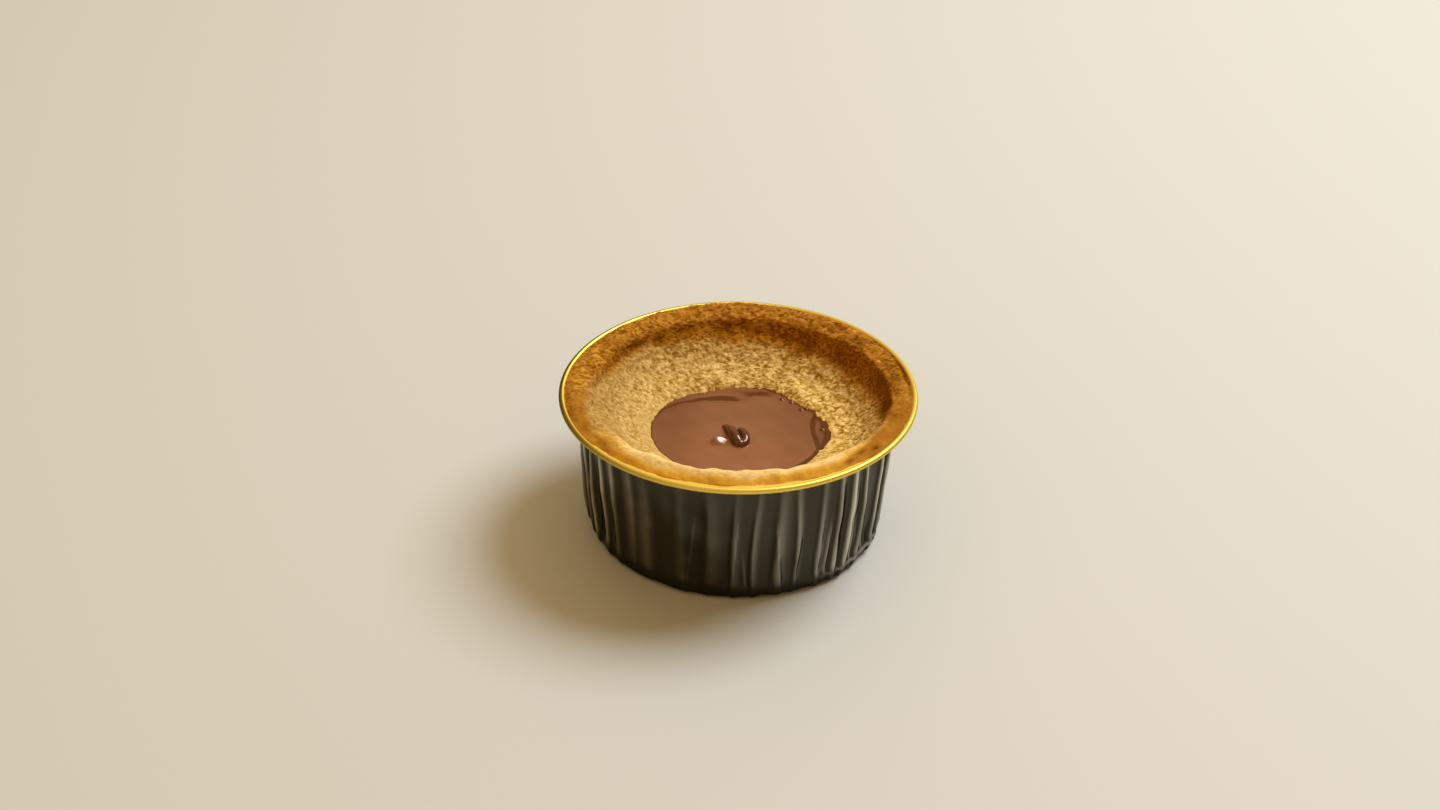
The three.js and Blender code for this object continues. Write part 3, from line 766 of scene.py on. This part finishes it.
# Painted light: the pool is lighter towards the front and darker at the left and right; the sines are thin
# streaks in the skin.
tone = 0.8 + 0.15 * rise(9, -12, pool_y) - 0.22 * rise(-6, -16, pool_x) - 0.14 * rise(7, 15, pool_x)
tone += 0.04 * np.sin(0.5 * pool_x + 1) * np.sin(0.7 * pool_y + 0.3 * pool_x)
skin_and_shade = tone - (tone - 0.3) * shaded_strips
skin_and_shade *= 1 - 0.95 * rise(0.15, 0.5, bubbles)
remember(pool, "skin_and_shade", skin_and_shade + (1 - skin_and_shade) * rise(0.125, 0.3, drop))

# The underside, which lies in the crumb's bed.
bpy.ops.object.mode_set(mode="EDIT")
select_ring(pool, POOL_HEIGHT - 2 * MM, POOL_HEIGHT + 2 * MM)
draw_rings(POOL_REACH, [(20 * MM, 21.6 * MM), (14 * MM, 19.2 * MM)])
bpy.ops.mesh.edge_face_add()
bpy.ops.mesh.select_all(action="SELECT")
bpy.ops.mesh.normals_make_consistent(inside=False)
bpy.ops.object.mode_set(mode="OBJECT")

# The loop, joined to the pool. Its route is x, y and height above the pool in mm, and a share of its
# thickness.
LOOP_RADIUS = 1.2 * MM
LOOP_ROUTE = [
    (-3.4, 1.9, -0.5, 0.35), (-2.9, 0.8, 0.4, 0.45), (-2.1, -0.8, 1.0, 0.7), (-1.3, -2.6, 1.35, 0.95),
    (-0.6, -4.4, 1.4, 1.1), (-0.05, -5.7, 1.05, 1.15), (1.0, -6.7, 0.4, 1), (1.95, -6.0, 0.6, 0.9),
    (2.0, -4.7, 0.95, 0.95), (1.5, -3.2, 1.15, 0.95), (0.9, -2.0, 0.9, 0.85), (0.5, -0.9, -0.5, 0.6),
]
bpy.ops.object.select_all(action="DESELECT")
bpy.ops.curve.primitive_bezier_curve_add()
loop = bpy.context.object
loop.data.bevel_depth = LOOP_RADIUS
loop.data.bevel_resolution = 5
loop.data.use_fill_caps = True
loop.data.resolution_u = 10
strand = loop.data.splines[0]
strand.bezier_points.add(len(LOOP_ROUTE) - len(strand.bezier_points))
for bend, (bend_x, bend_y, above, thickness) in zip(strand.bezier_points, LOOP_ROUTE):
    bend.co = (bend_x * MM, bend_y * MM, POOL_HEIGHT + above * MM)
    bend.radius = thickness
    bend.handle_left_type = "AUTO"
    bend.handle_right_type = "AUTO"
bpy.ops.object.convert(target="MESH")
bpy.ops.object.mode_set(mode="EDIT")
bpy.ops.mesh.select_all(action="SELECT")
bpy.ops.mesh.remove_doubles(threshold=0.01 * MM)
bpy.ops.mesh.normals_make_consistent(inside=False)
bpy.ops.object.mode_set(mode="OBJECT")
bpy.ops.object.select_all(action="DESELECT")
pool.select_set(True)
bpy.context.view_layer.objects.active = pool
union = pool.modifiers.new("loop", "BOOLEAN")
union.operation = "UNION"
union.solver = "MANIFOLD"
union.object = loop
bpy.ops.object.modifier_apply(modifier=union.name)
bpy.data.objects.remove(loop)
bpy.ops.object.shade_smooth()
lean(pool)

# Bare chocolate, such as the loop, is dark and glossy, the strips painted dark as shade are dull, and the
# drop is wet.
melted_chocolate = finish("melted_chocolate", Roughness=0.12)
skin_and_shade_value = recall(melted_chocolate, "skin_and_shade")
plug(melted_chocolate, "Base Color", ramp(melted_chocolate, skin_and_shade_value, [
    (0.0, (0.1, 0.022, 0.004)),
    (0.3, (0.125, 0.034, 0.006)),
    (0.75, (0.235, 0.08, 0.027)),
    (0.95, (0.3, 0.108, 0.041)),
]))
plug(melted_chocolate, "Specular Tint", ramp(melted_chocolate, skin_and_shade_value, [
    (0.0, (1.0, 0.78, 0.62)),
    (0.3, (1.0, 0.6, 0.43)),
    (0.95, (1.0, 0.6, 0.43)),
    (1.0, (1.0, 0.92, 0.9)),
]))
plug(melted_chocolate, "Specular IOR Level", grey_ramp(melted_chocolate, skin_and_shade_value, [
    (0.0, 0.8),
    (0.3, 0.12),
    (0.75, 0.6),
    (0.95, 0.6),
    (1.0, 1.0),
]))
pool.data.materials.clear()
pool.data.materials.append(melted_chocolate)
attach(pool, "root")
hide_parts("chocolate")

# The table: a broad top with a pale matt paint, which carries the cup and takes its shadow.
# It is only the stage, and reaches past the picture on all sides.
TABLE_SIZE = 6
bpy.ops.object.select_all(action="DESELECT")
bpy.ops.mesh.primitive_plane_add(size=TABLE_SIZE)
table = bpy.context.object
table.name = "table"
table.data.materials.append(finish("pale_table", Base_Color=(0.71, 0.67, 0.60, 1), Roughness=0.7))

# The lamp: a round soft box with a cool light, which hangs behind the cup on the right.
# Its size sets how soft the shadow's edge is.
LAMP_DIRECTION = (0.62, 0.4, 1.0)
LAMP_DISTANCE = 1.5
LAMP_SIZE = 0.85
LAMP_POWER = 20.2
LAMP_COLOUR = (0.78, 0.89, 1.0)
bpy.ops.object.light_add(type="AREA")
lamp = bpy.context.object
lamp.name = "lamp"
lamp.location = LAMP_DIRECTION
lamp.location *= LAMP_DISTANCE / lamp.location.length
lamp.rotation_mode = "QUATERNION"
lamp.rotation_quaternion = lamp.location.to_track_quat("Z", "Y")
lamp.data.shape = "DISK"
lamp.data.size = LAMP_SIZE
lamp.data.energy = LAMP_POWER
lamp.data.color = LAMP_COLOUR

# The room: warm light from all round, strongest from above on the viewer's side, and a bright wall
# behind the cup.
ROOM_TOP = (-0.2, -0.55, 0.81)
BRIGHT_WALL = (0.1, 0.84, 0.53)
room = bpy.data.worlds.new("room")
bpy.context.scene.world = room
room.use_nodes = True
gaze = add_node(room, "ShaderNodeTexCoord").outputs["Generated"]


def towards(direction):
    """How far the gaze points in a direction, 1 if straight at it."""
    inputs = {0: gaze, 1: direction}
    return add_node(room, "ShaderNodeVectorMath", inputs, operation="DOT_PRODUCT").outputs["Value"]


fill = ramp(room, towards(ROOM_TOP), [
    (0.0, (0.115, 0.081, 0.035)),
    (0.45, (0.19, 0.132, 0.062)),
    (0.75, (0.51, 0.367, 0.177)),
    (1.0, (0.615, 0.438, 0.213)),
])
backdrop = ramp(room, towards(BRIGHT_WALL), [(0.6, (0, 0, 0)), (0.9, (0.62, 0.5, 0.31))])
room_light = work_out_colour(room, "ADD", fill, backdrop)
room.node_tree.links.new(room_light, room.node_tree.nodes["Background"].inputs["Color"])

# The camera: it looks at the middle of the rim from in front and above, held a little askew, and its
# frame is shifted as in the photograph.
VIEW_RISE = math.radians(31.79)
VIEW_ROLL = math.radians(2.26)
VIEW_DISTANCE = 0.501
VIEW_LENS = 52.9
VIEW_SENSOR = 36
VIEW_SHIFT = (-0.0129, -0.0113)
bpy.ops.object.camera_add()
camera = bpy.context.object
camera_height = rim_height + VIEW_DISTANCE * math.sin(VIEW_RISE)
camera.location = (0, -VIEW_DISTANCE * math.cos(VIEW_RISE), camera_height)
camera.rotation_euler = (math.pi / 2 - VIEW_RISE, 0, 0)
camera.rotation_euler.rotate_axis("Z", VIEW_ROLL)
camera.data.lens = VIEW_LENS
camera.data.sensor_width = VIEW_SENSOR
camera.data.shift_x, camera.data.shift_y = VIEW_SHIFT
bpy.context.scene.camera = camera
bpy.context.scene.view_settings.view_transform = "Standard"
